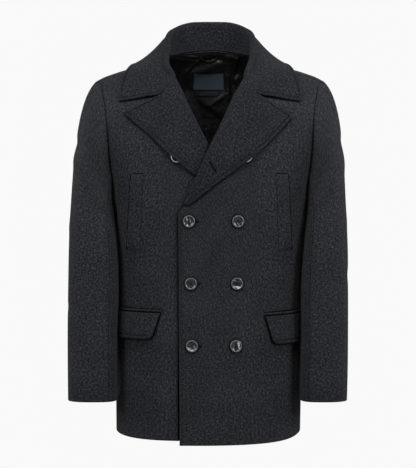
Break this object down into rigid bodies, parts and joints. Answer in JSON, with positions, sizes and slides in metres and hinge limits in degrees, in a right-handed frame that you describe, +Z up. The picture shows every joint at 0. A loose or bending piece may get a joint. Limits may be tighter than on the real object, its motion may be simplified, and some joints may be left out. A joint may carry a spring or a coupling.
{
  "type": "pea coat",
  "caption": "Hollow double-breasted wool coat with wide notched lapels, folded collar, welt and flap pockets, buttoned shut and filled out as if worn.",
  "frame": {"origin": "between the shoulders, level with the sides of the neck, where the wearer's shoulders carry the coat", "axes": "+Z up, -Y towards the coat's front, +X towards the wearer's left"},
  "size_m": [0.5489, 0.2905, 0.835],
  "materials": {
    "wool": "brushed charcoal melange",
    "satin": "glossy black lining",
    "woven_label": "smooth woven",
    "horn": "polished, marbled"
  },
  "bodies": {
    "root": {"front_left": "wool", "front_right": "wool", "back_left": "wool", "back_right": "wool", "sleeve_upper_left": "wool", "sleeve_upper_right": "wool", "sleeve_under_left": "wool", "sleeve_under_right": "wool", "collar": "wool", "lapel_left": "wool", "lapel_right": "wool", "welt_left": "wool", "welt_right": "wool", "flap_left": "wool", "flap_right": "wool", "jet_left": "wool", "jet_right": "wool", "lining_back": "satin", "label": "woven_label", "label_tab": "woven_label", "hanger_loop": "satin", "button_top_left": "horn", "button_top_right": "horn", "button_high_left": "horn", "button_high_right": "horn", "button_middle_left": "horn", "button_middle_right": "horn", "button_low_left": "horn", "button_low_right": "horn"}
  },
  "joints": []
}
